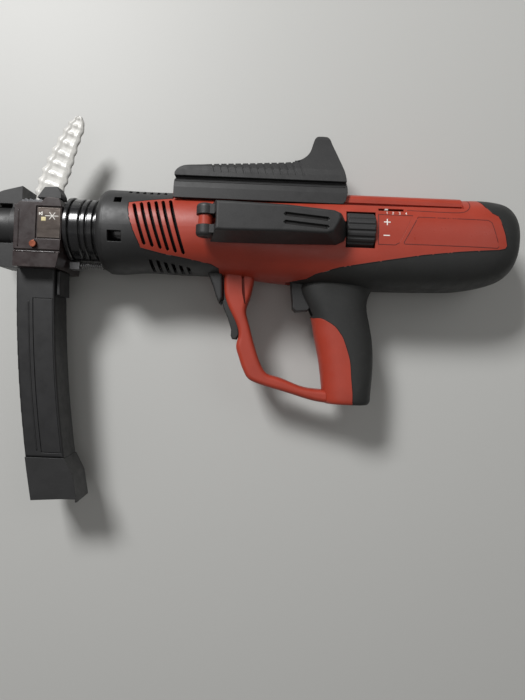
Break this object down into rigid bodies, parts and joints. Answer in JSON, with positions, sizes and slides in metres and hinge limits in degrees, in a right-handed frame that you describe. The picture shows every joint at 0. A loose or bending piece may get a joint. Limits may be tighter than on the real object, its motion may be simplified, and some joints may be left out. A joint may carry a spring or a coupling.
{
  "type": "powder-actuated nail gun",
  "caption": "Powder-actuated nail gun with a pistol grip and hand guard, a sliding cocking grip on top, a ribbed pressing nose and a long curved nail magazine.",
  "frame": {"origin": "centre of the muzzle, on the driving axis", "axes": "+X back along the driving axis to the butt, +Y the tool's top (away from the grip), +Z the tool's left side, which faces up as it lies on its right side"},
  "size_m": [0.45, 0.3276, 0.095],
  "materials": {
    "black_plastic": "fine-textured black nylon, slightly worn",
    "black_grip": "soft black overmould with a satin sheen",
    "red_plastic": "satin red nylon with a fine spark-eroded texture",
    "badge": "smooth red panel, blank",
    "steel": "turned steel",
    "dark_steel": "blackened, oiled steel",
    "spring": "bright spring steel",
    "rubber": "black rubber, dull",
    "gloss_black": "glossy black, lightly scratched",
    "base_paint": "dark plum-brown coating, worn at its edges",
    "plate_metal": "printed metal plate, left without text",
    "copper": "copper-coloured button",
    "magazine_black": "black plastic, dusty",
    "white_plastic": "milky translucent plastic",
    "yellow_plastic": "yellow plastic strip",
    "brass": "drawn brass cases"
  },
  "bodies": {
    "housing": {"front_sleeve": "black_plastic", "sleeve_fin": "black_plastic", "housing_left": "red_plastic", "housing_right": "red_plastic", "rear_cover_left": "black_grip", "rear_cover_right": "black_grip", "side_badge": "badge", "power_scale": "red_plastic", "grip_cover": "black_grip", "grip_insert": "red_plastic", "hand_guard": "red_plastic", "guard_screws": "steel", "receiver_sleeve": "dark_steel", "chamber_block": "steel", "cartridge_guide": "black_plastic", "breech_block": "steel", "firing_pin_spring": "spring", "spring_seat": "steel", "lever_bracket": "red_plastic", "lever_pin": "steel", "wheel_carrier": "black_plastic", "sear_pin": "steel"},
    "guard_button": {"guard_button": "black_grip"},
    "firing_pin": {"firing_pin": "steel"},
    "nose": {"piston_guide": "dark_steel", "buffer": "rubber", "stop_ring": "steel", "return_unit": "gloss_black", "fastener_guide": "dark_steel", "nose_shroud": "black_plastic", "magazine_base": "base_paint", "base_plate_left": "plate_metal", "base_plate_right": "plate_metal", "feed_latch": "black_plastic", "toothed_strap": "dark_steel", "magazine_body": "magazine_black", "magazine_panel_left": "magazine_black", "magazine_panel_right": "magazine_black", "magazine_foot": "black_plastic", "magazine_latch": "black_plastic", "nails": "spring", "carrier_strip": "white_plastic", "rod_clamp": "steel", "feed_rod": "spring", "feed_spring": "spring"},
    "piston": {"piston": "dark_steel", "piston_rings": "spring"},
    "release_button": {"release_button": "copper"},
    "cocking_slide": {"cocking_slide": "black_plastic", "slide_runner_left": "black_plastic", "slide_runner_right": "black_plastic", "slide_pad": "rubber"},
    "side_lever": {"side_lever": "black_plastic"},
    "power_wheel": {"power_wheel": "rubber", "wheel_spindle": "spring"},
    "power_marker": {"power_marker": "white_plastic"},
    "trigger": {"trigger": "black_plastic"},
    "sear": {"sear": "steel"},
    "cartridge_strip": {"cartridge_strip": "yellow_plastic", "cartridges": "brass"}
  },
  "joints": [
    {"name": "press_travel", "type": "slide", "parent": "housing", "child": "nose", "axis": [1, 0, 0], "range_m": [0, 0.018], "stiffness_N_per_m": 2500, "springref_m": -0.004, "deforming": ["feed_spring"]},
    {"name": "piston_travel", "type": "slide", "parent": "nose", "child": "piston", "axis": [1, 0, 0], "range_m": [-0.09, 0]},
    {"name": "cocking", "type": "slide", "parent": "housing", "child": "cocking_slide", "axis": [1, 0, 0], "range_m": [0, 0.075]},
    {"name": "side_lever_hinge", "type": "hinge", "parent": "housing", "child": "side_lever", "pos_m": [0.194, 0, 0.045], "axis": [0, -1, 0], "range_deg": [0, 70]},
    {"name": "power_wheel_spin", "type": "hinge", "parent": "housing", "child": "power_wheel", "pos_m": [0.3155, 0.0027, 0.028], "axis": [1, 0, 0], "range_deg": [0, 240]},
    {"name": "power_marker_slide", "type": "slide", "parent": "housing", "child": "power_marker", "axis": [1, 0, 0], "range_m": [-0.0002, 0.0095]},
    {"name": "trigger_pull", "type": "slide", "parent": "housing", "child": "trigger", "axis": [1, 0, 0], "range_m": [0, 0.006], "stiffness_N_per_m": 900, "springref_m": -0.004},
    {"name": "sear_tilt", "type": "hinge", "parent": "housing", "child": "sear", "pos_m": [0.29, -0.032, 0], "axis": [0, 0, 1], "range_deg": [-8, 0.5]},
    {"name": "firing_pin_slide", "type": "slide", "parent": "housing", "child": "firing_pin", "axis": [1, 0, 0], "range_m": [0, 0.012], "stiffness_N_per_m": 800, "springref_m": -0.004, "deforming": ["firing_pin_spring"]},
    {"name": "strip_feed", "type": "slide", "parent": "housing", "child": "cartridge_strip", "axis": [0, 1, 0], "range_m": [0, 0.01]},
    {"name": "guard_button_press", "type": "slide", "parent": "housing", "child": "guard_button", "axis": [1, 0, 0], "range_m": [0, 0.0028], "stiffness_N_per_m": 600, "springref_m": -0.003},
    {"name": "release_button_press", "type": "slide", "parent": "nose", "child": "release_button", "axis": [0, 0, -1], "range_m": [0, 0.003], "stiffness_N_per_m": 400, "springref_m": -0.003}
  ],
  "couplings": [
    {"joint": "sear_tilt", "follows": "trigger_pull", "rad_per_m": -22},
    {"joint": "power_marker_slide", "follows": "power_wheel_spin", "m_per_rad": 0.0022}
  ]
}
